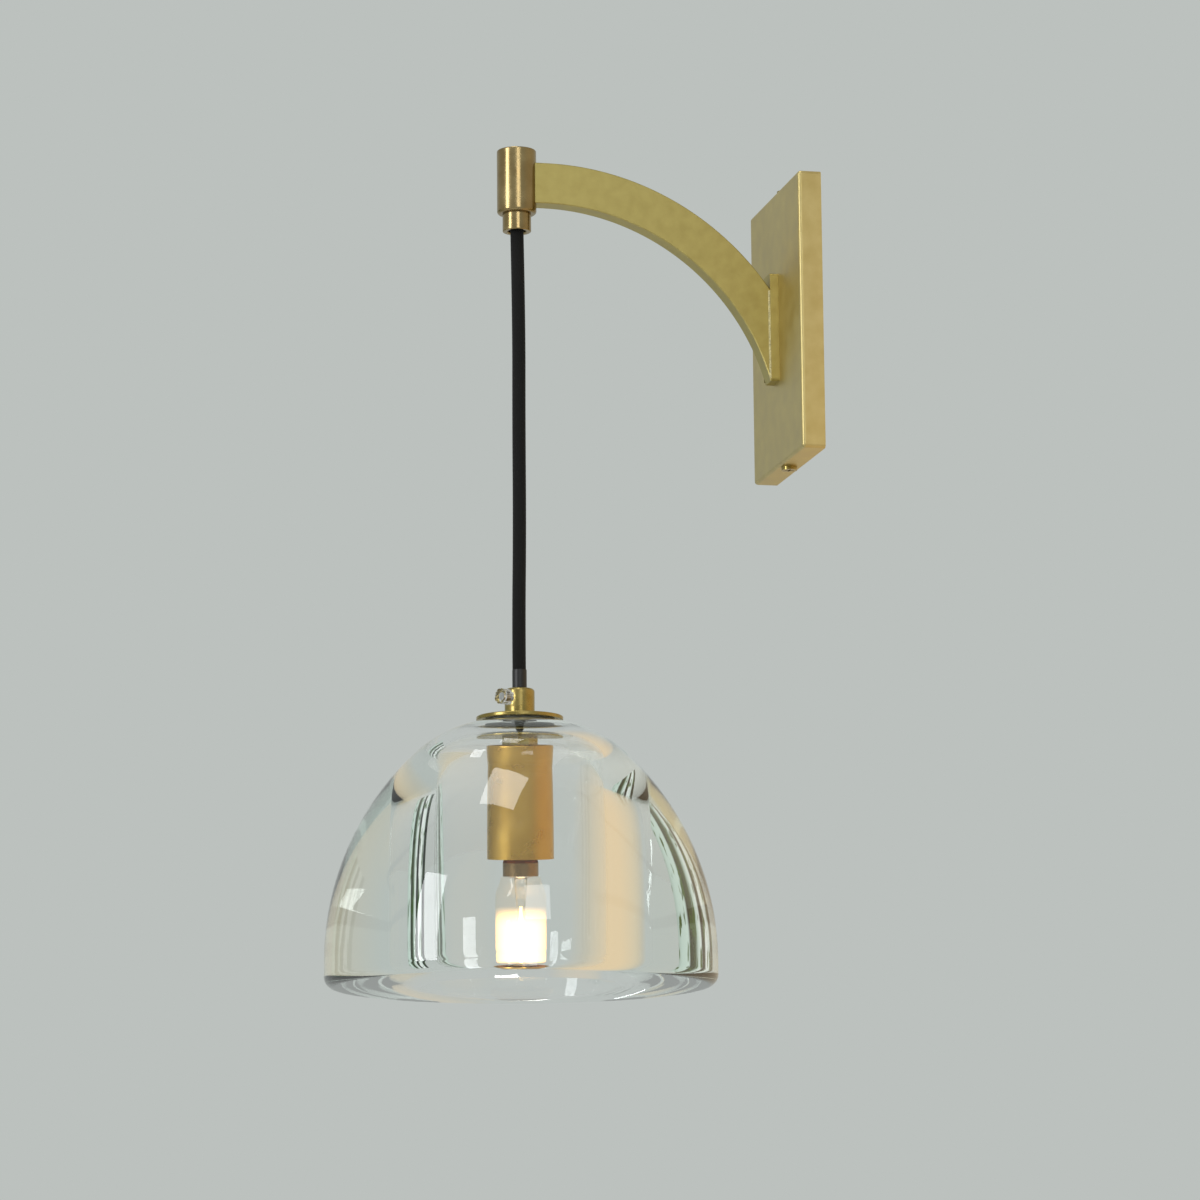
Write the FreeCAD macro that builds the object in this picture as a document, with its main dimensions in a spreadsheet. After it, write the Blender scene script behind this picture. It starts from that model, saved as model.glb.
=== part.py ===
"""Hanging pendant wall sconce: a brass backplate and curved arm carry a glass shade on a cord.

Frame: X along the wall, Y into the wall (the wall's face is y = 0), Z up.
The origin is the middle of the backplate's back. Lengths are in millimetres.
"""
import FreeCAD
import Part
import math
import os
import re
import Sketcher

doc = FreeCAD.newDocument("Sconce")
sheet = doc.addObject("Spreadsheet::Sheet", "Sizes")

SIZES = {
    # backplate cover, a box pressed from sheet and open at the back
    "plate_width": 90,
    "plate_height": 132,
    "plate_depth": 11,
    "plate_wall": 1.5,
    "plate_edge": 1.6,
    # steel bracket on the wall
    "bracket_width": 34,
    "bracket_thick": 2,
    "bracket_play": 0.4,
    "tab_width": 20,
    "slot_width": 4.6,
    "slot_length": 14,
    "slot_spacing": 92,
    "entry_radius": 6,
    "entry_drop": 32,
    # screws that hold the cover to the bracket's tabs
    "cover_screw_radius": 2,
    "cover_screw_length": 9,
    "cover_head_radius": 3.7,
    "cover_head_height": 1.7,
    # foot plate and its screws
    "foot_width": 12,
    "foot_height": 52,
    "foot_thick": 4,
    "foot_edge": 1.2,
    "foot_screw_pitch": 36,
    "foot_screw_radius": 2,
    "foot_head_radius": 3.5,
    "foot_head_height": 2.2,
    "cross_width": 0.8,
    "cross_span": 4.2,
    "cross_depth": 1.1,
    "wire_hole_radius": 4,
    "braze_leg": 0.8,
    # curved arm, a rectangular tube
    "arm_reach": 135.7,
    "arm_angle": 62.25,
    "arm_foot_rise": 0.19,
    "arm_straight": 13.7,
    "arm_thick": 10,
    "arm_height": 19.5,
    "arm_wall": 1.2,
    "arm_edge": 0.4,
    "arm_trim": 1.5,
    # hub, cap, outlet bush and what is inside
    "hub_above_arm": 16.1,
    "hub_height": 30.7,
    "hub_radius": 9.25,
    "hub_bore": 7.2,
    "hub_floor": 3,
    "hub_edge": 1.4,
    "hub_window_step": 1,
    "cap_thick": 1.9,
    "cap_spigot": 3,
    "cap_edge": 0.6,
    "bush_radius": 6.7,
    "bush_drop": 8.5,
    "bush_bore": 4.3,
    "bush_mouth": 0.8,
    "bush_edge": 0.5,
    "bush_neck_radius": 5.6,
    "bush_nut_radius": 6.9,
    "bush_nut_height": 2.6,
    "stop_radius": 5.4,
    "stop_height": 3.4,
    "tail_proud": 0.6,
    # cord
    "cord_radius": 3.15,
    "cord_drop": 216.8,
    "cord_insert": 9,
    "pivot_inset": 2.5,
    "bend_radius": 3,
    "bend_half": 1.5,
    "sleeve_radius": 3.35,
    "sleeve_length": 8.5,
    # collar and grip screw
    "collar_radius": 6.9,
    "collar_height": 13.1,
    "collar_edge": 1.6,
    "grip_drop": 4.7,
    "grip_turned": -55,
    "grip_stud_radius": 1.7,
    "grip_knob_radius": 3.6,
    "grip_knob_length": 5.4,
    "grip_knob_gap": 0.6,
    "grip_flute_radius": 0.7,
    "grip_flute_out": 0.25,
    "grip_bore_depth": 3.5,
    # plates, gaskets, nut and nipple that hold the glass
    "disc_radius": 20,
    "disc_thick": 1.8,
    "plate_bevel": 0.4,
    "gasket_radius": 16,
    "upper_gasket_thick": 1,
    "lower_gasket_thick": 0.8,
    "washer_radius": 20,
    "washer_thick": 1.5,
    "nut_flats": 14,
    "nut_height": 8.3,
    "nut_turned": 17.4,
    "nipple_radius": 4.9,
    "nipple_bore": 3.5,
    "nipple_grip": 3.6,
    # glass shade
    "shade_radius": 89.8,
    "shade_height": 121.6,
    "shade_widest": 11.7,
    "shade_foot_edge": 5,
    "shoulder_out": 28.143,
    "shoulder_drop": 14.091,
    "shade_hole": 6,
    "shade_top_wall": 11.6,
    "shade_wall": 50.5,
    "ceiling_margin": 2,
    "lip_radius": 11,
    # socket cup and lampholder
    "cup_radius": 15.2,
    "cup_height": 53.1,
    "cup_wall": 1,
    "cup_edge": 1.6,
    "holder_radius": 13.6,
    "holder_cap_height": 21,
    "holder_wall": 1.8,
    "holder_recess": 2.3,
    "holder_floor": 6,
    "holder_edge": 0.8,
    "boss_wall": 2.2,
    "boss_drop": 4,
    "holder_mouth_radius": 9.4,
    "holder_mouth_height": 5,
    "shell_radius": 7.3,
    "shell_wall": 0.6,
    "shell_length": 15,
    "shell_flange": 4.5,
    "contact_width": 5,
    "contact_thick": 0.5,
    "contact_length": 8,
    "contact_gap": 1,
    "rivet_radius": 1,
    "core_radius": 1.1,
    "core_offset": 1.6,
    # lamp: cap shell, insulator, tip and glass
    "lamp_neck_drop": 5.9,
    "lamp_cap_length": 25.5,
    "lamp_skirt_radius": 8.15,
    "lamp_skirt_height": 7.5,
    "lamp_skirt_straight": 4.5,
    "lamp_thread_radius": 6.9,
    "lamp_cap_wall": 0.4,
    "lamp_tip_radius": 2.4,
    "lamp_tip_height": 1.5,
    "lamp_insulator_height": 3.5,
    "lamp_insulator_land": 1,
    "bulb_radius": 11.7,
    "bulb_length": 32,
    "bulb_neck_radius": 9.2,
    "bulb_shoulder": 7,
    "bulb_wall": 0.6,
    "bulb_end": 6,
    "bulb_plug": 3,
    "stem_radius": 3,
    "stem_tip_radius": 2.1,
    "stem_length": 10,
    "lead_radius": 0.35,
    "lead_start": 1.5,
    "lead_spread": 4.2,
    "lead_length": 21,
    "lead_drop": 1.2,
    "lead_splay": 5,
    "lead_corner": 1.4,
    "filament_radius": 0.45,
    "filament_drop": 2.6,
    # wires from the bracket to the cord
    "wire_radius": 0.9,
    "wire_pitch": 1.95,
    "wire_fan_top": 17,
    "wire_fan_bottom": 9,
    "wire_corner": 4,
    "wire_foot_corner": 7,
    "wire_rise": 3.7,
    "block_width": 21,
    "block_depth": 5.6,
    "block_height": 13,
    "block_rise": 24,
    "block_pitch": 6,
    "block_screw_radius": 1.4,
    "block_screw_proud": 0.6,
    "block_screw_slot": 0.55,
    "earth_screw_radius": 2,
    "earth_screw_head": 3.6,
    "earth_screw_side": 10.5,
    "earth_screw_rise": 12,
    # clearances
    "hole_play": 0.2,
    "thread_play": 0.05,
    "joint_play": 0.3,
    "seat_play": 0.05,
    # how far a cutting shape runs past the face that it opens
    "overcut": 1,
}

for row, (name, value) in enumerate(SIZES.items(), start=1):
    sheet.set("A%d" % row, name)
    sheet.set("B%d" % row, str(value))
    sheet.setAlias("B%d" % row, name)
doc.recompute()

# heights and depths that several pieces share, worked out from the sizes
PLATE_FRONT = "(-plate_depth)"
FOOT_FRONT = "(-plate_depth-foot_thick)"
CAVITY_FRONT = "(-plate_depth+plate_wall)"
ARM_CENTRE_Y = "(-arm_reach+arm_straight)"
# the arm's middle line is level where its bend starts, turns down by arm_angle and meets the foot plate
ARM_BEND = "((arm_reach-arm_straight-plate_depth-foot_thick)/sin(arm_angle))"
ARM_RISE = "(arm_foot_rise+%s*(1-cos(arm_angle)))" % ARM_BEND
ARM_CENTRE_Z = "(%s-%s)" % (ARM_RISE, ARM_BEND)
HUB_TOP = "(%s+hub_above_arm)" % ARM_RISE
HUB_BOTTOM = "(%s-hub_height)" % HUB_TOP
HUB_SEAM = "(%s-cap_thick)" % HUB_TOP
BUSH_MOUTH = "(%s-bush_drop)" % HUB_BOTTOM
PIVOT = "(%s+pivot_inset)" % BUSH_MOUTH
NECK_TOP = "(%s+hub_floor+bush_nut_height)" % HUB_BOTTOM
TAIL_TOP = "(%s+stop_height+tail_proud)" % NECK_TOP
COLLAR_TOP = "(%s-cord_drop)" % BUSH_MOUTH
DISC_TOP = "(%s-collar_height)" % COLLAR_TOP
GLASS_TOP = "(%s-disc_thick-upper_gasket_thick)" % DISC_TOP
GLASS_RIM = "(%s-shade_height)" % GLASS_TOP
CEILING = "(%s-shade_top_wall)" % GLASS_TOP
WASHER_TOP = "(%s-lower_gasket_thick)" % CEILING
NUT_TOP = "(%s-washer_thick)" % WASHER_TOP
CUP_TOP = "(%s-nut_height)" % NUT_TOP
CUP_BOTTOM = "(%s-cup_height)" % CUP_TOP
HOLDER_TOP = "(%s-cup_wall)" % CUP_TOP
HOLDER_JOINT = "(%s-holder_cap_height)" % HOLDER_TOP
HOLDER_BOTTOM = "(%s+holder_recess)" % CUP_BOTTOM
LAMP_NECK = "(%s-lamp_neck_drop)" % CUP_BOTTOM
LAMP_TIP = "(%s+lamp_cap_length)" % LAMP_NECK
SHELL_TOP = "(%s+joint_play+contact_thick+contact_gap)" % LAMP_TIP
HUB_AXIS = "-arm_reach"
NIPPLE_HOLE = "nipple_radius+thread_play"
EARTH_HEIGHT = "(earth_screw_rise-entry_drop)"
GRIP_FLUTES = 8
TOUCH = 1e-3            # lengths under this are taken as nothing

X_AXIS = FreeCAD.Vector(1, 0, 0)
Y_AXIS = FreeCAD.Vector(0, 1, 0)
Z_AXIS = FreeCAD.Vector(0, 0, 1)
parts = {}


def qualified(expression):
    """Return the expression with every size written as a cell of the sheet."""
    return re.sub(r"[a-z][a-z_]+", lambda word: "Sizes." + word.group() if word.group() in SIZES
                  else word.group(), str(expression))


def number(expression):
    """Return the value of an expression in sizes."""
    return float(sheet.evalExpression(qualified(expression)))


def bind(thing, name, expression):
    """Tie a property of an object to an expression in sizes."""
    thing.setExpression(name, qualified(expression))


def place(thing, x="0", y="0", z="0", turn=None):
    """Put an object at a point given by expressions, turned by a rotation if one is given."""
    if turn is not None:
        thing.Placement = FreeCAD.Placement(FreeCAD.Vector(0, 0, 0), turn)
    for axis, expression in zip("xyz", (x, y, z)):
        bind(thing, "Placement.Base." + axis, expression)


def add_part(label, thing):
    """Name an object as a sub-part of the sconce."""
    thing.Label = label
    parts[label] = thing
    return thing


# ---- sketches and features of a PartDesign body

def new_body(label, x="0", y="0", z="0"):
    """Return an empty body at a point given by expressions."""
    body = doc.addObject("PartDesign::Body", label + "_body")
    place(body, x, y, z)
    return add_part(label, body)


def new_sketch(body, plane):
    """Return an empty sketch on one of the body's own origin planes."""
    sketch = body.newObject("Sketcher::SketchObject", body.Name + "_sketch")
    support = [feature for feature in body.Origin.OriginFeatures if feature.Role == plane][0]
    sketch.AttachmentSupport = [(support, "")]
    sketch.MapMode = "FlatFace"
    return sketch


def fix_point(sketch, edge, end, x, y):
    """Dimension one end of an edge from the sketch's origin."""
    for kind, axis, expression in (("DistanceX", -2, x), ("DistanceY", -1, y)):
        value = number(expression)
        if abs(value) < TOUCH ** 2:
            sketch.addConstraint(Sketcher.Constraint("PointOnObject", edge, end, axis))
            continue
        ends = (-1, 1, edge, end) if value > 0 else (edge, end, -1, 1)
        index = sketch.addConstraint(Sketcher.Constraint(kind, *ends, abs(value)))
        bind(sketch, "Constraints[%d]" % index, expression if value > 0 else "-(%s)" % expression)


def draw_outline(sketch, corners):
    """Draw a closed outline through corners (x, y) or (x, y, radius, side).

    A corner with a radius starts an arc of that radius; side is 1 where the arc's centre lies
    left of the way to the next corner, and -1 where it lies right of it.
    """
    ends = []
    for corner, after in zip(corners, corners[1:] + corners[:1]):
        start = FreeCAD.Vector(number(corner[0]), number(corner[1]), 0)
        stop = FreeCAD.Vector(number(after[0]), number(after[1]), 0)
        if len(corner) == 2:
            edge = sketch.addGeometry(Part.LineSegment(start, stop), False)
            ends.append((edge, 1, 2))
            continue
        radius, side = number(corner[2]), corner[3]
        chord = stop - start
        left = FreeCAD.Vector(-chord.y, chord.x, 0).normalize()
        rise = math.sqrt(max(radius ** 2 - chord.Length ** 2 / 4, 0))
        centre = (start + stop) / 2 + left * (side * rise)
        first, last = (start, stop) if side > 0 else (stop, start)
        angles = [math.atan2(point.y - centre.y, point.x - centre.x) for point in (first, last)]
        circle = Part.Circle(centre, Z_AXIS, radius)
        edge = sketch.addGeometry(Part.ArcOfCircle(circle, angles[0], angles[1]), False)
        ends.append((edge, 1, 2) if side > 0 else (edge, 2, 1))
    for index, (edge, start, stop) in enumerate(ends):
        other = ends[(index + 1) % len(ends)]
        sketch.addConstraint(Sketcher.Constraint("Coincident", edge, stop, other[0], other[1]))
    for (edge, start, stop), corner in zip(ends, corners):
        fix_point(sketch, edge, start, corner[0], corner[1])
        if len(corner) == 4:
            index = sketch.addConstraint(Sketcher.Constraint("Radius", edge, number(corner[2])))
            bind(sketch, "Constraints[%d]" % index, corner[2])


def draw_circle(sketch, radius, x="0", y="0"):
    """Draw a circle with its centre and radius tied to expressions."""
    centre = FreeCAD.Vector(number(x), number(y), 0)
    edge = sketch.addGeometry(Part.Circle(centre, Z_AXIS, number(radius)), False)
    fix_point(sketch, edge, 3, x, y)
    index = sketch.addConstraint(Sketcher.Constraint("Radius", edge, number(radius)))
    bind(sketch, "Constraints[%d]" % index, radius)


def rectangle(width, height, x="0", y="0"):
    """Return the corners of a rectangle about a middle point."""
    half_x, half_y = "(%s)/2" % width, "(%s)/2" % height
    return [("%s-%s" % (x, half_x), "%s-%s" % (y, half_y)), ("%s+%s" % (x, half_x), "%s-%s" % (y, half_y)),
            ("%s+%s" % (x, half_x), "%s+%s" % (y, half_y)), ("%s-%s" % (x, half_x), "%s+%s" % (y, half_y))]


def pad(body, sketch, length, symmetric=False):
    """Add material from a sketch."""
    feature = body.newObject("PartDesign::Pad", body.Name + "_pad")
    feature.Profile = sketch
    feature.SideType = "Symmetric" if symmetric else "One side"
    bind(feature, "Length", length)
    sketch.Visibility = False
    doc.recompute()
    return feature


def pocket(body, sketch, length, both_ways=True):
    """Cut a sketch away, half of the length to each side of its plane or all of it behind the plane."""
    before = body.Shape.Volume
    feature = body.newObject("PartDesign::Pocket", body.Name + "_pocket")
    feature.Profile = sketch
    feature.SideType = "Symmetric" if both_ways else "One side"
    bind(feature, "Length", length)
    doc.recompute()
    if body.Shape.Volume > before - TOUCH:
        raise RuntimeError("%s: a pocket removed nothing" % body.Label)
    return feature


def dress_edges(body, kind, property_name, size, chosen):
    """Add a fillet or a chamfer on the edges of the body's last feature for which chosen(edge) is true."""
    base = body.Tip
    names = ["Edge%d" % index for index, edge in enumerate(base.Shape.Edges, start=1) if chosen(edge)]
    if not names:
        raise RuntimeError("%s: no edge to dress" % body.Label)
    feature = body.newObject("PartDesign::" + kind, body.Name + "_" + kind.lower())
    feature.Base = (base, names)
    bind(feature, property_name, size)
    doc.recompute()
    return feature


def round_edges(body, radius, chosen):
    """Fillet the chosen edges."""
    return dress_edges(body, "Fillet", "Radius", radius, chosen)


def bevel_edges(body, width, chosen):
    """Chamfer the chosen edges."""
    return dress_edges(body, "Chamfer", "Size", width, chosen)


def turned(label, corners, z, y=HUB_AXIS):
    """Return a body turned about the vertical axis through y, with its outline's z counted from z."""
    body = new_body(label, y=y, z=z)
    sketch = new_sketch(body, "XZ_Plane")
    draw_outline(sketch, corners)
    feature = body.newObject("PartDesign::Revolution", body.Name + "_turn")
    feature.Profile = sketch
    feature.ReferenceAxis = (sketch, ["V_Axis"])
    feature.Angle = 360
    doc.recompute()
    return body


def ring(label, inner, outer, height, z, y=HUB_AXIS):
    """Return a plain turned ring that stands on z."""
    return turned(label, [(inner, "0"), (outer, "0"), (outer, height), (inner, height)], z, y)


# ---- Part primitives and booleans

def cylinder(radius, height, x="0", y="0", z="0", turn=None):
    """Return a cylinder that starts at a point and rises along its own turned axis."""
    thing = doc.addObject("Part::Cylinder", "rod")
    bind(thing, "Radius", radius)
    bind(thing, "Height", height)
    place(thing, x, y, z, turn)
    return thing


def block(width, depth, height, x="0", y="0", z="0"):
    """Return a box centred on x whose lowest y and z are given."""
    thing = doc.addObject("Part::Box", "block")
    for name, expression in (("Length", width), ("Width", depth), ("Height", height)):
        bind(thing, name, expression)
    place(thing, "%s-(%s)/2" % (x, width), y, z)
    return thing


def ball(radius):
    """Return a sphere at the point where the cord bends."""
    thing = doc.addObject("Part::Sphere", "ball")
    bind(thing, "Radius", radius)
    place(thing, y=HUB_AXIS, z=PIVOT)
    return thing


def fuse(*things):
    """Return the union of objects."""
    union = doc.addObject("Part::MultiFuse", "union")
    union.Shapes = list(things)
    union.Refine = True
    return union


def cut(base, *tools):
    """Return base with the tools cut away."""
    difference = doc.addObject("Part::Cut", "difference")
    difference.Base = base
    difference.Tool = tools[0] if len(tools) == 1 else fuse(*tools)
    difference.Refine = True
    return difference


def group(label, things):
    """Return one sub-part that holds separate solids."""
    compound = doc.addObject("Part::Compound", label + "_group")
    compound.Links = list(things)
    return add_part(label, compound)


def cross_screw(radius, length, head_radius, head_height, turn, x="0", y="0", z="0"):
    """Return a screw with a cross recess: shank along its turned +Z, head below its seat."""
    head = cylinder(head_radius, head_height, z="-(%s)" % head_height)
    shank = cylinder(radius, length)
    recess = [block("cross_span", "cross_width", "cross_depth", y="-cross_width/2", z="-" + head_height),
              block("cross_width", "cross_span", "cross_depth", y="-cross_span/2", z="-" + head_height)]
    screw = cut(fuse(head, shank), *recess)
    place(screw, x, y, z, turn)
    return screw


TURN_TO_Y = FreeCAD.Rotation(X_AXIS, -90)      # own Z becomes +Y
TURN_TO_MINUS_Y = FreeCAD.Rotation(X_AXIS, 90)  # own Z becomes -Y
TURN_DOWN = FreeCAD.Rotation(X_AXIS, 180)
TURN_NONE = FreeCAD.Rotation()


# ---- fixture on the wall

def make_cover():
    """Backplate cover: a rounded box, hollow from the wall side, with wire and screw holes."""
    body = new_body("backplate_cover")
    outer = new_sketch(body, "XZ_Plane")
    draw_outline(outer, rectangle("plate_width", "plate_height"))
    pad(body, outer, "plate_depth")
    round_edges(body, "plate_edge", lambda edge: edge.BoundBox.YMin < -TOUCH)
    inner = new_sketch(body, "XZ_Plane")
    draw_outline(inner, rectangle("plate_width-2*plate_wall", "plate_height-2*plate_wall"))
    pocket(body, inner, "2*(plate_depth-plate_wall)")
    front_holes = new_sketch(body, "XZ_Plane")
    draw_circle(front_holes, "wire_hole_radius")
    draw_circle(front_holes, "foot_screw_radius+hole_play", y="foot_screw_pitch/2")
    draw_circle(front_holes, "foot_screw_radius+hole_play", y="-foot_screw_pitch/2")
    pocket(body, front_holes, "2*(plate_depth+overcut)")
    end_holes = new_sketch(body, "XY_Plane")
    draw_circle(end_holes, "cover_screw_radius+hole_play", y="-plate_depth/2")
    pocket(body, end_holes, "plate_height+2*overcut")


def make_bracket():
    """Steel bracket: a strap on the wall with a tab folded out at each end."""
    strap_height = "(plate_height-2*plate_wall-2*bracket_play)"
    tab_depth = "(plate_depth-plate_wall-bracket_play)"
    strap = block("bracket_width", "bracket_thick", strap_height, y="-bracket_thick",
                  z="-%s/2" % strap_height)
    tabs = [block("tab_width", tab_depth, "bracket_thick", y="-" + tab_depth, z="-%s/2" % strap_height),
            block("tab_width", tab_depth, "bracket_thick", y="-" + tab_depth,
                  z="%s/2-bracket_thick" % strap_height)]
    through, start = "(bracket_thick+2*overcut)", "(-bracket_thick-overcut)"
    tools = [cylinder("entry_radius", through, z="-entry_drop", y=start, turn=TURN_TO_Y),
             cylinder("earth_screw_radius+thread_play", through, x="earth_screw_side", y=start,
                      z=EARTH_HEIGHT, turn=TURN_TO_Y),
             cylinder("cover_screw_radius+thread_play", "plate_height", y="-plate_depth/2",
                      z="-plate_height/2", turn=TURN_NONE)]
    for side in ("slot_spacing/2", "-slot_spacing/2"):
        tools.append(block("slot_width", through, "slot_length-slot_width", y=start,
                           z="%s-(slot_length-slot_width)/2" % side))
        for end in ("+", "-"):
            tools.append(cylinder("slot_width/2", through, y=start,
                                  z="%s%s(slot_length-slot_width)/2" % (side, end), turn=TURN_TO_Y))
    add_part("wall_bracket", cut(fuse(strap, *tabs), *tools))


def make_foot():
    """Foot plate of the arm, with a wire hole and two threaded holes for the foot screws."""
    body = new_body("foot_plate", y=PLATE_FRONT)
    outer = new_sketch(body, "XZ_Plane")
    draw_outline(outer, rectangle("foot_width", "foot_height"))
    pad(body, outer, "foot_thick")
    round_edges(body, "foot_edge", lambda edge: edge.BoundBox.YMin < -TOUCH and edge.BoundBox.YLength > TOUCH)
    holes = new_sketch(body, "XZ_Plane")
    draw_circle(holes, "wire_hole_radius")
    draw_circle(holes, "foot_screw_radius+thread_play", y="foot_screw_pitch/2")
    draw_circle(holes, "foot_screw_radius+thread_play", y="-foot_screw_pitch/2")
    pocket(body, holes, "4*foot_thick")


def make_screws():
    """Two cover screws, two foot screws and the earth screw."""
    cover = ("cover_screw_radius", "cover_screw_length", "cover_head_radius", "cover_head_height")
    foot = ("foot_screw_radius", "plate_wall+foot_thick-joint_play", "foot_head_radius", "foot_head_height")
    group("cover_screws", [
        cross_screw(*cover, TURN_NONE, y="-plate_depth/2", z="-plate_height/2"),
        cross_screw(*cover, TURN_DOWN, y="-plate_depth/2", z="plate_height/2")])
    group("foot_screws", [
        cross_screw(*foot, TURN_TO_MINUS_Y, y=CAVITY_FRONT, z="foot_screw_pitch/2"),
        cross_screw(*foot, TURN_TO_MINUS_Y, y=CAVITY_FRONT, z="-foot_screw_pitch/2")])
    earth = cross_screw("earth_screw_radius", "bracket_thick", "earth_screw_head", "foot_head_height",
                        TURN_TO_Y, x="earth_screw_side", y="-bracket_thick", z=EARTH_HEIGHT)
    add_part("earth_screw", earth)


def arm_outline(inset, foot):
    """Return the arm's side outline about its bend's centre, inset from its faces, ending at y = foot."""
    outer = "(%s+arm_height/2-%s)" % (ARM_BEND, inset)
    inner = "(%s-arm_height/2+%s)" % (ARM_BEND, inset)
    hub = "(-arm_straight)"
    return [(hub, inner), ("0", inner, inner, -1), (foot, "sqrt(%s^2-%s^2)" % (inner, foot)),
            (foot, "sqrt(%s^2-%s^2)" % (outer, foot), outer, 1), ("0", outer), (hub, outer)]


def make_arm():
    """Curved rectangular tube, cut flat for the foot plate and coped to fit round the hub."""
    body = new_body("arm", y=ARM_CENTRE_Y, z=ARM_CENTRE_Z)
    foot = "(%s-%s)" % (FOOT_FRONT, ARM_CENTRE_Y)
    longer = "(%s+arm_trim)" % foot
    outer = new_sketch(body, "YZ_Plane")
    draw_outline(outer, arm_outline("0", longer))
    pad(body, outer, "arm_thick", symmetric=True)
    side = number("arm_thick") / 2
    bevel_edges(body, "arm_edge", lambda edge: (abs(abs(edge.BoundBox.XMin) - side) < TOUCH
                                                and edge.BoundBox.XLength < TOUCH
                                                and edge.BoundBox.YLength > 1))
    inner = new_sketch(body, "YZ_Plane")
    draw_outline(inner, arm_outline("arm_wall", longer))
    pocket(body, inner, "arm_thick-2*arm_wall")
    end = new_sketch(body, "YZ_Plane")
    draw_outline(end, [(foot, "0"), (foot + "+2*arm_trim", "0"), (foot + "+2*arm_trim", ARM_BEND),
                       (foot, ARM_BEND)])
    pocket(body, end, "2*arm_thick")
    cope = new_sketch(body, "XY_Plane")
    draw_circle(cope, "hub_radius+seat_play", y="-arm_straight")
    pocket(body, cope, "4*" + ARM_BEND)


def make_braze():
    """Bead of braze along both sides of the arm where it meets the foot plate."""
    reach = "(%s-%s)" % (FOOT_FRONT, ARM_CENTRE_Y)
    low = "(sqrt((%s-arm_height/2)^2-%s^2)+%s+foot_edge)" % (ARM_BEND, reach, ARM_CENTRE_Z)
    high = "(sqrt((%s+arm_height/2)^2-%s^2)+%s-foot_edge)" % (ARM_BEND, reach, ARM_CENTRE_Z)
    beads = []
    for side in ("", "-"):
        near, far = side + "(arm_thick/2+seat_play)", side + "(arm_thick/2+seat_play+braze_leg)"
        sketch = doc.addObject("Sketcher::SketchObject", "bead_section")
        draw_outline(sketch, [(near, FOOT_FRONT), (far, FOOT_FRONT), (near, "%s-braze_leg" % FOOT_FRONT)])
        bead = doc.addObject("Part::Extrusion", "bead")
        bead.Base = sketch
        bead.Dir = Z_AXIS
        bead.Solid = True
        bind(bead, "LengthFwd", "%s-%s" % (high, low))
        place(bead, z=low)
        beads.append(bead)
    group("foot_braze", beads)


# ---- hub, cap and outlet bush

def make_hub():
    """Hub: a turned cup with a window for the arm's wires and a floor for the bush."""
    neck_hole = "bush_neck_radius+hole_play"
    seam = "hub_height-cap_thick"
    body = turned("hub", [
        (neck_hole, "0"), ("hub_radius-hub_edge", "0", "hub_edge", 1), ("hub_radius", "hub_edge"),
        ("hub_radius", seam), ("hub_bore", seam), ("hub_bore", "hub_floor"), (neck_hole, "hub_floor")],
        HUB_BOTTOM)
    window = new_sketch(body, "XZ_Plane")
    draw_outline(window, rectangle("arm_thick-2*arm_wall", "arm_height-2*arm_wall-hub_window_step",
                                   y="(%s-%s)" % (ARM_RISE, HUB_BOTTOM)))
    pocket(body, window, "hub_radius+overcut", both_ways=False)
    spigot = "hub_bore-hole_play"
    turned("hub_cap", [
        ("0", "-cap_spigot"), (spigot, "-cap_spigot"), (spigot, "0"), ("hub_radius", "0"),
        ("hub_radius", "cap_thick-cap_edge", "cap_edge", 1), ("hub_radius-cap_edge", "cap_thick"),
        ("0", "cap_thick")], HUB_SEAM)


def make_outlet():
    """Bush screwed into the hub's floor, its nut, and the ring that grips the cord above it."""
    neck_top = "bush_drop+hub_floor+bush_nut_height"
    turned("outlet_bush", [
        ("bush_bore+bush_mouth", "0"), ("bush_radius-bush_edge", "0", "bush_edge", 1),
        ("bush_radius", "bush_edge"), ("bush_radius", "bush_drop"), ("bush_neck_radius", "bush_drop"),
        ("bush_neck_radius", neck_top), ("bush_bore", neck_top),
        ("bush_bore", "bush_mouth", "bush_mouth", 1)],
        BUSH_MOUTH)
    ring("bush_nut", "bush_neck_radius+thread_play", "bush_nut_radius", "bush_nut_height",
         "%s+hub_floor" % HUB_BOTTOM)
    ring("cord_stop", "cord_radius", "stop_radius", "stop_height", NECK_TOP)


# ---- cord

def make_cord():
    """Cord: a tail held in the hub, the flexing ball in the bush, the long straight run and its sleeve."""
    socket = "bend_radius+joint_play"
    tail = cylinder("cord_radius", "%s-%s-bend_half" % (TAIL_TOP, PIVOT), y=HUB_AXIS,
                    z="%s+bend_half" % PIVOT)
    run_bottom = "(%s-cord_insert)" % COLLAR_TOP
    run_length = "(%s-bend_half-%s)" % (PIVOT, run_bottom)
    run = cylinder("cord_radius", run_length, y=HUB_AXIS, z=run_bottom)
    add_part("cord_tail", cut(tail, ball(socket)))
    add_part("cord_bend", ball("bend_radius"))
    add_part("cord", cut(run, ball(socket)))
    ring("cord_sleeve", "cord_radius", "sleeve_radius", "sleeve_length", "%s+joint_play" % COLLAR_TOP)
    section = math.pi * number("cord_radius") ** 2
    print("cord: one straight run of %.1f mm, section times length %.1f mm3, no bend"
          % (number(run_length), section * number(run_length)))


# ---- collar and grip screw

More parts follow.
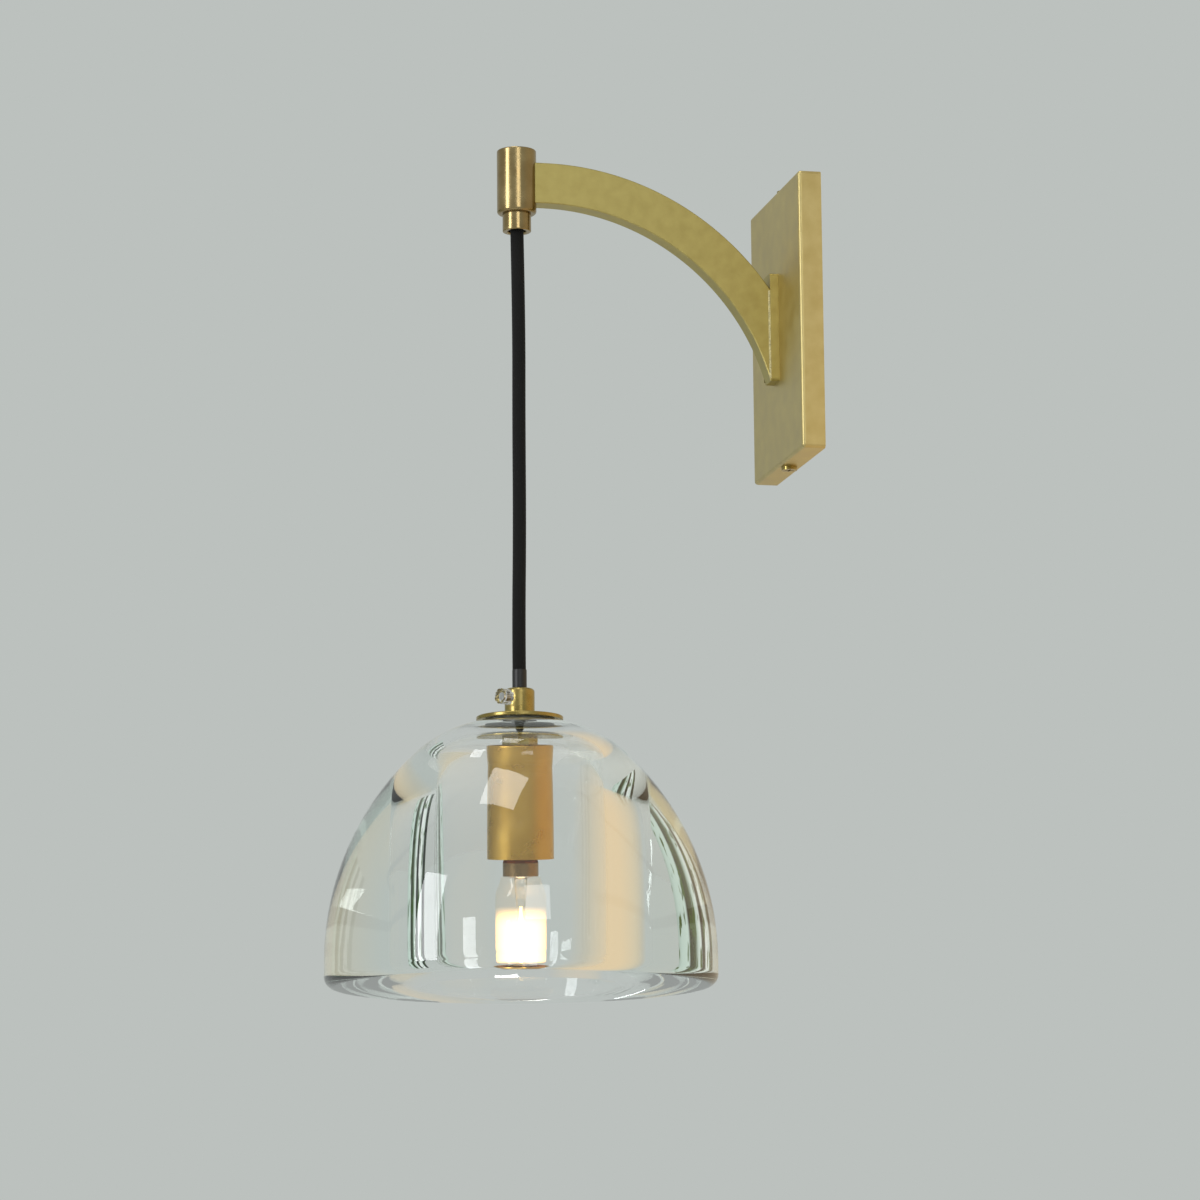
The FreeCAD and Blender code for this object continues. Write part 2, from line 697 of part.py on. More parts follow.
def make_collar():
    """Collar that the cord enters, screwed on the nipple, with a clear grip screw in its side."""
    cord_hole = "cord_radius+joint_play"
    body = turned("collar", [
        (NIPPLE_HOLE, "0"), ("collar_radius", "0"),
        ("collar_radius", "collar_height-collar_edge", "collar_edge", 1),
        ("collar_radius-collar_edge", "collar_height"), (cord_hole, "collar_height"),
        (cord_hole, "nipple_grip"), (NIPPLE_HOLE, "nipple_grip")], DISC_TOP)
    hole = grip_rod("grip_stud_radius+thread_play", "0", "collar_radius+overcut")
    add_part("cord_collar", cut(body, hole))
    del parts["collar"]
    knob_start = "collar_radius+grip_knob_gap"
    add_part("grip_screw_stud", grip_rod("grip_stud_radius", cord_hole, knob_start + "+grip_bore_depth"))
    knob = grip_rod("grip_knob_radius", knob_start, knob_start + "+grip_knob_length")
    tools = [grip_rod("grip_stud_radius+hole_play/2", knob_start, knob_start + "+grip_bore_depth+seat_play")]
    for index in range(GRIP_FLUTES):
        flute = grip_rod("grip_flute_radius", knob_start, knob_start + "+grip_knob_length")
        angle = 360 * index / GRIP_FLUTES
        across = "(grip_knob_radius+grip_flute_out)*cos(%g)" % angle
        bind(flute, "Placement.Base.x", "(%s)*cos(grip_turned)-(%s)*sin(grip_turned)"
             % (knob_start, across))
        bind(flute, "Placement.Base.y", "-arm_reach+(%s)*sin(grip_turned)+(%s)*cos(grip_turned)"
             % (knob_start, across))
        bind(flute, "Placement.Base.z", "%s-grip_drop+(grip_knob_radius+grip_flute_out)*sin(%g)"
             % (COLLAR_TOP, angle))
        tools.append(flute)
    add_part("grip_screw_knob", cut(knob, *tools))


def grip_rod(radius, start, stop):
    """Return a rod along the grip screw's axis between two distances from the cord's middle."""
    turn = FreeCAD.Rotation(Z_AXIS, number("grip_turned")) * FreeCAD.Rotation(Y_AXIS, 90)
    return cylinder(radius, "%s-(%s)" % (stop, start), x="(%s)*cos(grip_turned)" % start,
                    y="-arm_reach+(%s)*sin(grip_turned)" % start, z="%s-grip_drop" % COLLAR_TOP, turn=turn)


# ---- what holds the glass

def make_clamp():
    """Disc, gaskets, washer, long nut and the threaded nipple through them all."""
    edged_ring("shade_disc", "disc_radius", "disc_thick", "plate_bevel", "%s-disc_thick" % DISC_TOP)
    ring("upper_gasket", "nipple_radius+hole_play", "gasket_radius", "upper_gasket_thick", GLASS_TOP)
    ring("lower_gasket", "nipple_radius+hole_play", "gasket_radius", "lower_gasket_thick", WASHER_TOP)
    edged_ring("inner_washer", "washer_radius", "washer_thick", "plate_bevel", NUT_TOP)
    prism = doc.addObject("Part::Prism", "hexagon")
    prism.Polygon = 6
    bind(prism, "Circumradius", "nut_flats/sqrt(3)")
    bind(prism, "Height", "nut_height")
    place(prism, y=HUB_AXIS, z=CUP_TOP, turn=FreeCAD.Rotation(Z_AXIS, number("nut_turned")))
    hole = cylinder(NIPPLE_HOLE, "nut_height+2*overcut", y=HUB_AXIS, z="%s-overcut" % CUP_TOP)
    add_part("lock_nut", cut(prism, hole))
    bottom = "(%s-holder_wall-boss_drop)" % HOLDER_TOP
    ring("threaded_nipple", "nipple_bore", "nipple_radius", "%s+nipple_grip-%s" % (DISC_TOP, bottom), bottom)


def edged_ring(label, radius, thickness, edge, z):
    """Return a plate turned with both of its outer edges rounded, with the nipple's hole."""
    return turned(label, [
        (NIPPLE_HOLE, "0"), ("%s-%s" % (radius, edge), "0", edge, 1), (radius, edge),
        (radius, "%s-%s" % (thickness, edge), edge, 1), ("%s-%s" % (radius, edge), thickness),
        (NIPPLE_HOLE, thickness)], z)


def make_glass():
    """Thick bell of glass: outside a foot, a flank and a shoulder, inside a straight cavity with a rounded end.

    The flank starts upright at the widest height and ends shoulder_out beyond the disc and shoulder_drop
    under the top, where the outer shoulder takes over its direction.
    """
    ceiling = "(shade_height-shade_top_wall)"
    cavity = "(shade_radius-shade_wall)"
    seat = "(gasket_radius+ceiling_margin)"
    inner_shoulder = "(%s-%s)" % (cavity, seat)
    joint_r, joint_z = "(disc_radius+shoulder_out)", "(shade_height-shoulder_drop)"
    run, climb = "(shade_radius-%s)" % joint_r, "(%s-shade_widest)" % joint_z
    flank = "((%s^2+%s^2)/(2*%s))" % (run, climb, run)
    shoulder = "(%s*(shoulder_out^2+shoulder_drop^2)/(2*(shoulder_out*(%s-%s)-shoulder_drop*%s)))" % (
        flank, flank, run, climb)
    turned("glass_shade", [
        (cavity, "lip_radius", "lip_radius", 1), (cavity + "+lip_radius", "0"),
        ("shade_radius-shade_foot_edge", "0", "shade_foot_edge", 1), ("shade_radius", "shade_foot_edge"),
        ("shade_radius", "shade_widest", flank, 1), (joint_r, joint_z, shoulder, 1),
        ("disc_radius", "shade_height"), ("shade_hole", "shade_height"), ("shade_hole", ceiling),
        (seat, ceiling, inner_shoulder, -1), (cavity, "%s-%s" % (ceiling, inner_shoulder))], GLASS_RIM)


# ---- socket cup and lampholder

def make_holder():
    """Brass cup over a lampholder: cap with a threaded boss, body, screw shell and centre contact."""
    inside = "cup_radius-cup_wall"
    turned("socket_cup", [
        (inside, "0"), ("cup_radius", "0"), ("cup_radius", "cup_height-cup_edge", "cup_edge", 1),
        ("cup_radius-cup_edge", "cup_height"), (NIPPLE_HOLE, "cup_height"),
        (NIPPLE_HOLE, "cup_height-cup_wall"),
        ("cup_radius-cup_edge", "cup_height-cup_wall", "cup_edge-cup_wall", -1),
        (inside, "cup_height-cup_edge")], CUP_BOTTOM)
    inside = "holder_radius-holder_wall"
    boss = NIPPLE_HOLE + "+boss_wall"
    under = "holder_cap_height-holder_wall"
    turned("holder_cap", [
        (inside, "0"), ("holder_radius", "0"),
        ("holder_radius", "holder_cap_height-holder_edge", "holder_edge", 1),
        ("holder_radius-holder_edge", "holder_cap_height"), (NIPPLE_HOLE, "holder_cap_height"),
        (NIPPLE_HOLE, under + "-boss_drop"), (boss, under + "-boss_drop"), (boss, under), (inside, under)],
        HOLDER_JOINT)
    height = "(%s-%s)" % (HOLDER_JOINT, HOLDER_BOTTOM)
    floor = "(%s-%s)" % (SHELL_TOP, HOLDER_BOTTOM)
    bore = "shell_radius+shell_wall+hole_play"
    rivet_hole = "rivet_radius+seat_play"
    turned("holder_body", [
        ("holder_mouth_radius", "0"), ("holder_radius", "0"), ("holder_radius", height), (inside, height),
        (inside, floor + "+holder_floor"), (rivet_hole, floor + "+holder_floor"), (rivet_hole, floor),
        (bore, floor), (bore, "holder_mouth_height"), ("holder_mouth_radius", "holder_mouth_height")],
        HOLDER_BOTTOM)
    turned("holder_shell", [
        ("shell_radius", "0"), ("shell_radius+shell_wall", "0"), ("shell_radius+shell_wall", "shell_length"),
        ("shell_flange", "shell_length"), ("shell_flange", "shell_length-shell_wall"),
        ("shell_radius", "shell_length-shell_wall")], "%s-shell_length" % SHELL_TOP)
    leaf_bottom = "(%s+joint_play)" % LAMP_TIP
    leaf = block("contact_width", "contact_length", "contact_thick", y="%s-contact_length/2" % HUB_AXIS,
                 z=leaf_bottom)
    rivet = cylinder("rivet_radius", "%s+holder_floor-%s" % (SHELL_TOP, leaf_bottom), y=HUB_AXIS,
                     z=leaf_bottom)
    add_part("centre_contact", fuse(leaf, rivet))
    start, stop = "(%s-cord_insert-joint_play)" % COLLAR_TOP, "(%s+holder_floor)" % SHELL_TOP
    for label, side in (("core_live", ""), ("core_neutral", "-")):
        add_part(label, cylinder("core_radius", "%s-%s" % (start, stop), x=side + "core_offset", y=HUB_AXIS,
                                 z=stop))


# ---- lamp

def make_lamp():
    """Tubular lamp with a screw cap, its glass, stem, lead wires and filament."""
    thread_top = "lamp_cap_length-lamp_tip_height-lamp_insulator_height"
    turned("lamp_cap_shell", [
        ("lamp_skirt_radius-lamp_cap_wall", "0"), ("lamp_skirt_radius", "0"),
        ("lamp_skirt_radius", "lamp_skirt_straight"), ("lamp_thread_radius", "lamp_skirt_height"),
        ("lamp_thread_radius", thread_top), ("lamp_thread_radius-lamp_cap_wall", thread_top),
        ("lamp_thread_radius-lamp_cap_wall", "lamp_skirt_height"),
        ("lamp_skirt_radius-lamp_cap_wall", "lamp_skirt_straight")], LAMP_NECK)
    turned("lamp_insulator", [
        ("0", "0"), ("lamp_thread_radius", "0"),
        ("lamp_tip_radius+lamp_insulator_land", "lamp_insulator_height"),
        ("0", "lamp_insulator_height")], "%s+%s" % (LAMP_NECK, thread_top))
    add_part("lamp_tip_contact", cylinder("lamp_tip_radius", "lamp_tip_height", y=HUB_AXIS,
                                          z="%s-lamp_tip_height" % LAMP_TIP))
    neck = "lamp_skirt_radius-lamp_cap_wall-seat_play"
    bottom = "(-bulb_length)"
    dome = "((bulb_radius^2+bulb_end^2)/(2*bulb_end))"
    inside = "(bulb_radius-bulb_wall)"
    dome_inside = "((%s^2+bulb_end^2)/(2*bulb_end))" % inside
    turned("lamp_glass", [
        ("bulb_neck_radius-bulb_wall", "-bulb_wall"), (neck + "-bulb_wall", "0"),
        (neck + "-bulb_wall", "bulb_plug"), (neck, "bulb_plug"), (neck, "0"), ("bulb_neck_radius", "0"),
        ("bulb_radius", "-bulb_shoulder"), ("bulb_radius", bottom + "+bulb_end", dome, -1), ("0", bottom),
        ("0", bottom + "+bulb_wall", dome_inside, 1), (inside, bottom + "+bulb_end+bulb_wall"),
        (inside, "-bulb_shoulder")], LAMP_NECK)
    plug = neck + "-bulb_wall-seat_play"
    turned("lamp_stem", [
        ("0", "-stem_length"), ("stem_tip_radius", "-stem_length"), ("stem_radius", "-bulb_wall"),
        (plug, "0"), (plug, "bulb_wall"), ("0", "bulb_wall")], LAMP_NECK)
    lead_end = "(%s-lead_length)" % LAMP_NECK
    leads = []
    for side in ("", "-"):
        leads.append(wire("lead_radius", [
            (side + "lead_start", HUB_AXIS, "%s-stem_length" % LAMP_NECK),
            (side + "lead_start", HUB_AXIS, "%s-stem_length-lead_drop" % LAMP_NECK, "lead_corner"),
            (side + "lead_spread", HUB_AXIS, "%s-stem_length-lead_splay" % LAMP_NECK, "lead_corner"),
            (side + "lead_spread", HUB_AXIS, lead_end)]))
    group("lamp_lead_wires", leads)
    filament_end = lead_end + "-filament_drop"
    add_part("lamp_filament", wire("filament_radius", [
        ("-lead_spread", HUB_AXIS, lead_end),
        ("-lead_spread", HUB_AXIS, filament_end, "lead_spread/2"),
        ("lead_spread", HUB_AXIS, filament_end, "lead_spread/2"),
        ("lead_spread", HUB_AXIS, lead_end)]))


# ---- wiring behind the cover and through the arm

def make_wiring():
    """Terminal block on the bracket and three wires from it through the arm to the cord's tail."""
    front = "(-bracket_thick-block_depth)"
    housing = block("block_width", "block_depth", "block_height", y=front, z="block_rise")
    poles = ("-block_pitch", "0", "block_pitch")
    middle = "block_rise+block_height/2"
    holes = [cylinder("block_screw_radius+thread_play", "block_depth/2", x=pole, y=front, z=middle,
                      turn=TURN_TO_Y) for pole in poles]
    add_part("terminal_block", cut(housing, *holes))
    screws = []
    for pole in poles:
        screw = cylinder("block_screw_radius", "block_depth/2+block_screw_proud", x=pole,
                         y=front + "-block_screw_proud", z=middle, turn=TURN_TO_Y)
        slot = block("2*(block_screw_radius+overcut)", "block_screw_proud", "block_screw_slot", x=pole,
                     y=front + "-block_screw_proud", z=middle + "-block_screw_slot/2")
        screws.append(cut(screw, slot))
    group("terminal_screws", screws)
    lane = "(-bracket_thick-block_depth/2)"
    turn = "acos((wire_rise-%s)/%s)" % (ARM_CENTRE_Z, ARM_BEND)
    crown = "(%s+%s*tan(%s/2))" % (ARM_CENTRE_Y, ARM_BEND, turn)
    foot = "(%s+%s/tan(%s))" % (crown, ARM_RISE, turn)
    for label, side, pole in (("wire_live", "wire_pitch", "block_pitch"), ("wire_earth", "0", "0"),
                              ("wire_neutral", "-wire_pitch", "-block_pitch")):
        add_part(label, wire("wire_radius", [
            (pole, lane, "block_rise"), (pole, lane, "wire_fan_top", "wire_corner"),
            (side, lane, "wire_fan_bottom", "wire_corner"), (side, lane, "0", "wire_corner"),
            (side, foot, "0", "wire_foot_corner"), (side, crown, ARM_RISE, ARM_BEND),
            (side, HUB_AXIS, ARM_RISE, "wire_corner"), (side, HUB_AXIS, TAIL_TOP)]))


def wire(radius, points):
    """Return a round wire along straight runs joined by tangent arcs: points (x, y, z[, radius])."""
    spots = [FreeCAD.Vector(*[number(value) for value in point[:3]]) for point in points]
    edges, last = [], spots[0]
    for index in range(1, len(spots) - 1):
        back, ahead = spots[index - 1] - spots[index], spots[index + 1] - spots[index]
        turn = math.pi - back.getAngle(ahead)
        if turn < TOUCH:
            continue
        reach = number(points[index][3]) * math.tan(turn / 2)
        back.normalize()
        ahead.normalize()
        start, stop = spots[index] + back * reach, spots[index] + ahead * reach
        inward = (back + ahead).normalize()
        bulge = number(points[index][3]) * (1 / math.cos(turn / 2) - 1)
        edges.append(Part.LineSegment(last, start).toShape())
        edges.append(Part.Arc(start, spots[index] + inward * bulge, stop).toShape())
        last = stop
    edges.append(Part.LineSegment(last, spots[-1]).toShape())
    first = (spots[1] - spots[0]).normalize()
    section = Part.Wire(Part.Circle(spots[0], first, number(radius)).toShape())
    thing = doc.addObject("Part::Feature", "wire")
    thing.Shape = Part.Wire(edges).makePipeShell([section], True, True)
    return thing


# ---- build, check and write

make_cover()
make_bracket()
make_foot()
make_screws()
make_arm()
make_braze()
make_hub()
make_outlet()
make_cord()
make_collar()
make_clamp()
make_glass()
make_holder()
make_lamp()
make_wiring()
doc.recompute()

for thing in doc.Objects:
    if "Invalid" in thing.State or "Error" in thing.State:
        raise RuntimeError("%s (%s) did not build: %s" % (thing.Label, thing.Name, thing.State))
for label, thing in parts.items():
    if thing.Shape.isNull() or not thing.Shape.isValid() or thing.Shape.Volume <= 0:
        raise RuntimeError("%s has no valid shape" % label)

os.makedirs("parts", exist_ok=True)
for label, thing in parts.items():
    thing.Shape.exportStep("parts/%s.step" % label)
    print("%-18s %d solid(s) %10.1f mm3" % (label, len(thing.Shape.Solids), thing.Shape.Volume))
print("%d sub-parts written" % len(parts))
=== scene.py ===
import math
import bpy
import numpy as np
from mathutils import Matrix, Vector


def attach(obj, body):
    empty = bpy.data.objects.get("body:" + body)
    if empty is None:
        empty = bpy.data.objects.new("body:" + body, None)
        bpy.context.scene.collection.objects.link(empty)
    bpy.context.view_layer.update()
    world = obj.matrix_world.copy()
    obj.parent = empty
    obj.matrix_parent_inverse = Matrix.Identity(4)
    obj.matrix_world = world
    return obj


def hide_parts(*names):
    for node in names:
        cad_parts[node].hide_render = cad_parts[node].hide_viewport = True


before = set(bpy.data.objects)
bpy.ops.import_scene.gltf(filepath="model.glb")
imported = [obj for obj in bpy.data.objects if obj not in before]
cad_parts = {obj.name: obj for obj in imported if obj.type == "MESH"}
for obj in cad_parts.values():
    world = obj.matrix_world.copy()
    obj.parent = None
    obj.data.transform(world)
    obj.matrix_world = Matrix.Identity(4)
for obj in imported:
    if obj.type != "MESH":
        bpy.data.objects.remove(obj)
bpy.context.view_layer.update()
print("stage: frame loaded")

mm = 0.001
hubY = -0.1357          # the cord's axis, in front of the backplate's back
glassRim = -0.3126
lampNeck = -0.2722


def srgb(code):         # sRGB hex to linear, with full alpha
    values = [int(code[i:i + 2], 16) / 255 for i in (1, 3, 5)]
    return tuple(v / 12.92 if v <= 0.04045 else ((v + 0.055) / 1.055) ** 2.4 for v in values) + (1.0,)


# a node with its settings, values and links and, on a colour ramp, its stops of position and colour
def addNode(tree, kind, inputs=None, stops=(), **settings):
    node = tree.nodes.new(kind)
    for name, value in settings.items():
        setattr(node, name, value)
    for name, value in (inputs or {}).items():
        if isinstance(value, bpy.types.NodeSocket):
            tree.links.new(value, node.inputs[name])
        else:
            node.inputs[name].default_value = value
    if stops:
        elements = node.color_ramp.elements
        while len(elements) < len(stops):
            elements.new(0.5)
        for element, (position, colour) in zip(elements, stops):
            element.position = position
            element.color = colour
    return node


def newMaterial(name):  # an empty material and its node tree
    material = bpy.data.materials.new(name)
    material.use_nodes = True
    material.node_tree.nodes.clear()
    return material, material.node_tree


# a mesh piece from points and quads; it rides a body, unless it is part of the stage
def makePiece(name, points, faces, body, material, smooth=True):
    mesh = bpy.data.meshes.new(name)
    mesh.from_pydata(points.tolist(), [], faces.tolist())
    if smooth:
        mesh.polygons.foreach_set("use_smooth", np.ones(len(mesh.polygons), bool))
    mesh.materials.append(material)
    mesh.update()
    piece = bpy.data.objects.new(name, mesh)
    bpy.context.scene.collection.objects.link(piece)
    if body:
        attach(piece, body)
    return piece


# quads of a rows by columns grid of points, each from a point, its two neighbours and the one across
def gridFaces(rows, columns, closedRows, closedColumns):
    i = np.arange(rows if closedRows else rows - 1)[:, None]
    j = np.arange(columns if closedColumns else columns - 1)[None, :]
    i2, j2 = (i + 1) % rows, (j + 1) % columns
    corners = [i * columns + j, i * columns + j2, i2 * columns + j2, i2 * columns + j]
    return np.stack([np.broadcast_to(c, (i.shape[0], j.shape[1])) for c in corners], axis=-1).reshape(-1, 4)


# a profile of radius and height carried once round the vertical axis at hubY:
# x = r cos a, y = hubY + r sin a, z = height
def turnedPoints(profile, around):
    angle = np.linspace(0, 2 * np.pi, around, endpoint=False)
    r, z = profile[:, 0][:, None], profile[:, 1][:, None]
    return np.stack([r * np.cos(angle), hubY + r * np.sin(angle), z + 0 * angle], axis=-1).reshape(-1, 3)


# points on an arc from angle a to angle b (degrees), radius r about (cx, cz), the ends included
def arcPoints(cx, cz, r, a, b, count):
    t = np.radians(np.linspace(a, b, count))
    return np.stack([cx + r * np.cos(t), cz + r * np.sin(t)], axis=-1)


def linePoints(start, stop, count):     # evenly spaced on a straight line, the ends left out
    t = np.linspace(0, 1, count + 2)[1:-1, None]
    return (1 - t) * np.array(start) + t * np.array(stop)


# the camera, in degrees: yaw to the left of y, pitch upwards, roll about the view
cameraSet = {
    "lens": 135, "sensor": 36, "clipStart": 0.01, "at": (2.006, -0.54467, -0.49886),
    "yaw": 77.43, "pitch": 10.11, "roll": -0.52,
}
camera = bpy.data.objects.new("camera", bpy.data.cameras.new("camera"))
camera.data.lens = cameraSet["lens"]
camera.data.sensor_width = cameraSet["sensor"]
camera.data.clip_start = cameraSet["clipStart"]
yaw, pitch, roll = (math.radians(cameraSet[k]) for k in ("yaw", "pitch", "roll"))
ahead = Vector((-math.sin(yaw) * math.cos(pitch), math.cos(yaw) * math.cos(pitch), math.sin(pitch)))
level = Vector((math.cos(yaw), math.sin(yaw), 0))
up = level.cross(ahead)
right = math.cos(roll) * level + math.sin(roll) * up
up = -math.sin(roll) * level + math.cos(roll) * up
camera.matrix_world = Matrix.Translation(cameraSet["at"]) @ Matrix((right, up, -ahead)).transposed().to_4x4()
bpy.context.scene.collection.objects.link(camera)
bpy.context.scene.camera = camera
bpy.context.scene.view_settings.view_transform = "Standard"

# camera, mirror and glass rays see the backdrop's colour; what lights the object is plainer and weaker
backdropSet = {
    "backdrop": "#BCC1BE", "ambient": "#F2F4F2", "ambientStrength": 0.62,
    "floor": "#F0F3F1", "floorRoughness": 0.9, "floorDepth": -1.5, "floorHalf": 6.0,
}
world = bpy.data.worlds.new("plainBackdrop")
bpy.context.scene.world = world
world.use_nodes = True
wt = world.node_tree
wt.nodes.clear()
rays = addNode(wt, "ShaderNodeLightPath").outputs
seen = rays["Is Camera Ray"]
for kind in ("Is Glossy Ray", "Is Transmission Ray"):
    seen = addNode(wt, "ShaderNodeMath", {0: seen, 1: rays[kind]}, operation="MAXIMUM").outputs[0]
ambient = addNode(wt, "ShaderNodeBackground", {"Color": srgb(backdropSet["ambient"]),
                                               "Strength": backdropSet["ambientStrength"]})
backdrop = addNode(wt, "ShaderNodeBackground", {"Color": srgb(backdropSet["backdrop"]), "Strength": 1.0})
both = addNode(wt, "ShaderNodeMixShader", {0: seen, 1: ambient.outputs[0], 2: backdrop.outputs[0]})
addNode(wt, "ShaderNodeOutputWorld", {"Surface": both.outputs[0]})

# three area lamps, all turned to the same point on the object
panelAim = (0, -0.1, -0.1)
lightSet = {
    "sidePanel": dict(at=(0.75, -1.9, 0.25), size=(0.5, 1.1), power=13, colour="#FAFCFF"),
    "upperPanel": dict(at=(0.5, -0.5, 1.5), size=(0.6, 0.6), power=6.5, colour="#FFFDF8"),
    "cameraPanel": dict(at=(2.3, -0.2, 0.6), size=(0.6, 0.6), power=4.5, colour="#FFFFFF"),
}


def addPanel(name, at, size, power, colour):
    light = bpy.data.lights.new(name, "AREA")
    light.shape = "RECTANGLE"
    light.size, light.size_y = size
    light.energy = power
    light.color = srgb(colour)[:3]
    panel = bpy.data.objects.new(name, light)
    turn = (Vector(panelAim) - Vector(at)).to_track_quat("-Z", "Y").to_matrix().to_4x4()
    panel.matrix_world = Matrix.Translation(at) @ turn
    panel.visible_camera = False
    bpy.context.scene.collection.objects.link(panel)


for name, values in lightSet.items():
    addPanel(name, **values)

floorMaterial, ft = newMaterial("paleFloorPaint")
floorShade = addNode(ft, "ShaderNodeBsdfPrincipled", {"Base Color": srgb(backdropSet["floor"]),
                                                      "Roughness": backdropSet["floorRoughness"]})
addNode(ft, "ShaderNodeOutputMaterial", {"Surface": floorShade.outputs[0]})
side, depth = backdropSet["floorHalf"], backdropSet["floorDepth"]
corners = np.array([(-side, -side, depth), (side, -side, depth), (side, side, depth), (-side, side, depth)])
oneQuad = np.array([[0, 1, 2, 3]])
floor = makePiece("floor", corners, oneQuad, None, floorMaterial, smooth=False)


# a card that only glass and metal see and that lights nothing; its UV runs from 0 to 1 over the corners
def addCard(name, corners, material):
    card = makePiece(name, np.array(corners, float), oneQuad, None, material, smooth=False)
    layer = card.data.uv_layers.new(name="along")
    layer.data.foreach_set("uv", [0, 0, 1, 0, 1, 1, 0, 1])
    for way in ("visible_camera", "visible_diffuse", "visible_shadow"):
        setattr(card, way, False)


# striped card, upright between two bearings far to the side, with flecks over its stripes
stripedCardSet = {
    "distance": 1.6, "bearings": (211, 238), "low": -1.42, "high": 0.3,
    "fleck": "#3F5A2C", "fleckCounts": (14, 9, 1), "fleckFrom": 0.57, "fleckFull": 0.61,
    "stripes": [(0.0, "#A9B8B0"), (0.06, "#BFD1C8"), (0.2, "#CADBD2"), (0.24, "#20261E"), (0.36, "#3A4A30"),
                (0.44, "#C4D5CB"), (0.52, "#E4ECE7"), (0.56, "#15191A"), (0.64, "#1B211C"), (0.68, "#EFF3F0"),
                (0.84, "#D6E2DB"), (0.88, "#101312"), (1.0, "#2B3328")],
}


def stripedCardPaper(s):
    material, tree = newMaterial("stripedCardPaper")
    place = addNode(tree, "ShaderNodeTexCoord").outputs["UV"]
    across = addNode(tree, "ShaderNodeSeparateXYZ", {0: place}).outputs["X"]
    spread = addNode(tree, "ShaderNodeMapping", {"Vector": place, "Scale": s["fleckCounts"]}).outputs[0]
    flecks = addNode(tree, "ShaderNodeTexNoise", {"Vector": spread, "Scale": 1.0,
                                                  "Detail": 3.0}).outputs["Fac"]
    stripe = addNode(tree, "ShaderNodeValToRGB", {"Fac": across},
                     stops=[(at, srgb(code)) for at, code in s["stripes"]]).outputs["Color"]
    share = addNode(tree, "ShaderNodeMapRange", {"Value": flecks, "From Min": s["fleckFrom"],
                                                 "From Max": s["fleckFull"]}).outputs[0]
    tone = addNode(tree, "ShaderNodeMixRGB", {"Fac": share, "Color1": stripe,
                                              "Color2": srgb(s["fleck"])}).outputs[0]
    light = addNode(tree, "ShaderNodeEmission", {"Color": tone, "Strength": 1.0})
    addNode(tree, "ShaderNodeOutputMaterial", {"Surface": light.outputs[0]})
    return material


nearEdge, farEdge = ((stripedCardSet["distance"] * math.cos(math.radians(bearing)),
                      stripedCardSet["distance"] * math.sin(math.radians(bearing)))
                     for bearing in stripedCardSet["bearings"])
low, high = stripedCardSet["low"], stripedCardSet["high"]
addCard("stripedCard", [(*nearEdge, low), (*farEdge, low), (*farEdge, high), (*nearEdge, high)],
        stripedCardPaper(stripedCardSet))

# card with a painted pool of the lamp's warm light as it falls on the wall, upright behind the object,
# warmest at its middle and the backdrop's colour past its reach
lampGlowCardSet = {
    "corners": [(-0.4, 0.02, -0.9), (0.4, 0.02, -0.9), (0.4, 0.02, 0.4), (-0.4, 0.02, 0.4)],
    "middle": (0.05, 0.02, -0.25), "reach": (0.3, 1.0, 0.6),
    "tones": [(0.0, "#BCC1BE"), (0.3, "#C4C0B2"), (0.58, "#DACBAF"), (0.82, "#E9D0AA")],
}


# painted lamp glow: the card's colour is warmest about the middle and fades to the backdrop's colour
def paintedLampGlowCard(s):
    material, tree = newMaterial("paintedLampGlowCard")
    place = addNode(tree, "ShaderNodeTexCoord").outputs["Object"]
    scale = tuple(1 / v for v in s["reach"])
    shift = tuple(-m * k for m, k in zip(s["middle"], scale))
    centred = addNode(tree, "ShaderNodeMapping", {"Vector": place, "Location": shift, "Scale": scale})
    ball = addNode(tree, "ShaderNodeTexGradient", {"Vector": centred.outputs[0]}, gradient_type="SPHERICAL")
    tone = addNode(tree, "ShaderNodeValToRGB", {"Fac": ball.outputs["Fac"]},
                   stops=[(at, srgb(code)) for at, code in s["tones"]]).outputs["Color"]
    light = addNode(tree, "ShaderNodeEmission", {"Color": tone, "Strength": 1.0})
    addNode(tree, "ShaderNodeOutputMaterial", {"Surface": light.outputs[0]})
    return material


addCard("lampGlowCard", lampGlowCardSet["corners"], paintedLampGlowCard(lampGlowCardSet))
print("stage: camera, floor and light set")

# what all the brasses share: fine grain, depth of the relief, where the cloud turns from dark to light
brassSet = {
    "grainMm": 0.5, "reliefMm": 0.03, "bump": 0.25, "dark": 0.3, "light": 0.7,
    "shinier": 0.05, "duller": 0.06,
}


